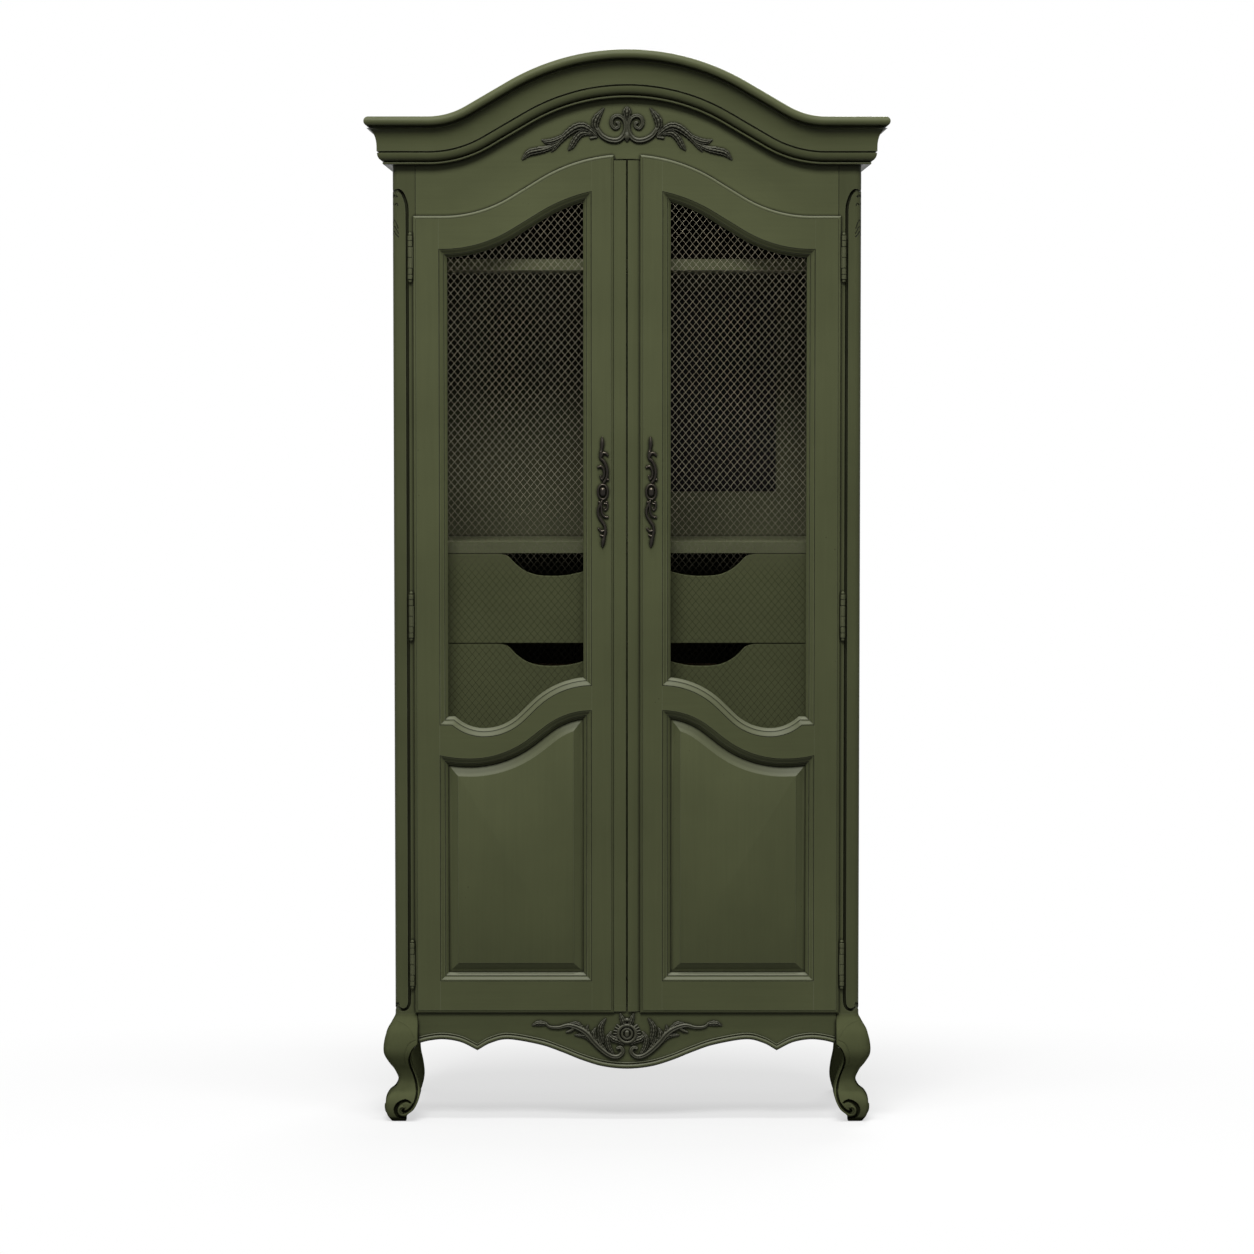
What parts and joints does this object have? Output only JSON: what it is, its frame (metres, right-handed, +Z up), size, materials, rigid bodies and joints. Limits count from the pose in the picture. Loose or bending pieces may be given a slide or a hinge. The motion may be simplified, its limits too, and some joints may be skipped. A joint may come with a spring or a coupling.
{
  "type": "hutch",
  "caption": "Tall arched cupboard on scroll-footed cabriole legs, with wire-mesh doors over raised panels, shelves and scooped drawers inside.",
  "frame": {"origin": "on the floor under the middle of the overall box", "axes": "+Z up, the doors face -Y, +X to the right of someone who faces the doors"},
  "size_m": [1.0426, 0.4242, 2.145],
  "materials": {
    "olive_paint": "satin olive-green paint with dark wax in the recesses",
    "inside_paint": "flat olive-green paint",
    "raw_timber": "bare sanded timber",
    "painted_hinge": "steel hinges painted with the body",
    "wire_mesh": "dulled wire",
    "dark_bronze": "dark bronze patina, worn on the high spots"
  },
  "bodies": {
    "carcass": {"front_post_left": "olive_paint", "front_post_right": "olive_paint", "rear_post_left": "olive_paint", "rear_post_right": "olive_paint", "front_apron": "olive_paint", "side_apron_left": "olive_paint", "side_apron_right": "olive_paint", "side_panel_left": "olive_paint", "side_panel_right": "olive_paint", "side_rail_left": "olive_paint", "side_rail_right": "olive_paint", "frieze_board": "olive_paint", "cornice": "olive_paint", "crown_carving": "olive_paint", "apron_carving": "olive_paint", "roof_board": "olive_paint", "bottom_board": "olive_paint", "back_panel": "olive_paint", "upper_shelf": "inside_paint", "shelf_batten_left": "inside_paint", "shelf_batten_right": "inside_paint", "middle_shelf": "inside_paint", "drawer_cheek_left": "inside_paint", "drawer_cheek_right": "inside_paint", "left_frame_hinge_1": "painted_hinge", "left_frame_hinge_2": "painted_hinge", "left_frame_hinge_3": "painted_hinge", "right_frame_hinge_1": "painted_hinge", "right_frame_hinge_2": "painted_hinge", "right_frame_hinge_3": "painted_hinge"},
    "left_door": {"left_door_hinge_stile": "olive_paint", "left_door_meeting_stile": "olive_paint", "left_door_top_rail": "olive_paint", "left_door_middle_rail": "olive_paint", "left_door_bottom_rail": "olive_paint", "left_door_mesh_moulding": "olive_paint", "left_door_panel_moulding": "olive_paint", "left_door_panel": "olive_paint", "left_door_mesh": "wire_mesh", "left_door_handle": "dark_bronze", "left_door_hinge_leaf_1": "painted_hinge", "left_door_hinge_leaf_2": "painted_hinge", "left_door_hinge_leaf_3": "painted_hinge"},
    "right_door": {"right_door_hinge_stile": "olive_paint", "right_door_meeting_stile": "olive_paint", "right_door_top_rail": "olive_paint", "right_door_middle_rail": "olive_paint", "right_door_bottom_rail": "olive_paint", "right_door_mesh_moulding": "olive_paint", "right_door_panel_moulding": "olive_paint", "right_door_panel": "olive_paint", "right_door_mesh": "wire_mesh", "right_door_handle": "dark_bronze", "right_door_hinge_leaf_1": "painted_hinge", "right_door_hinge_leaf_2": "painted_hinge", "right_door_hinge_leaf_3": "painted_hinge"},
    "upper_drawer": {"upper_drawer_front": "inside_paint", "upper_drawer_box": "raw_timber"},
    "lower_drawer": {"lower_drawer_front": "inside_paint", "lower_drawer_box": "raw_timber"}
  },
  "joints": [
    {"name": "left_door_hinge", "type": "hinge", "parent": "carcass", "child": "left_door", "pos_m": [-0.432, -0.16345, 1.0196], "axis": [0, 0, -1], "range_deg": [0, 110]},
    {"name": "right_door_hinge", "type": "hinge", "parent": "carcass", "child": "right_door", "pos_m": [0.432, -0.16345, 1.0196], "axis": [0, 0, 1], "range_deg": [0, 110]},
    {"name": "upper_drawer_slide", "type": "slide", "parent": "carcass", "child": "upper_drawer", "axis": [0, -1, 0], "range_m": [0, 0.04]},
    {"name": "lower_drawer_slide", "type": "slide", "parent": "carcass", "child": "lower_drawer", "axis": [0, -1, 0], "range_m": [0, 0.04]}
  ]
}
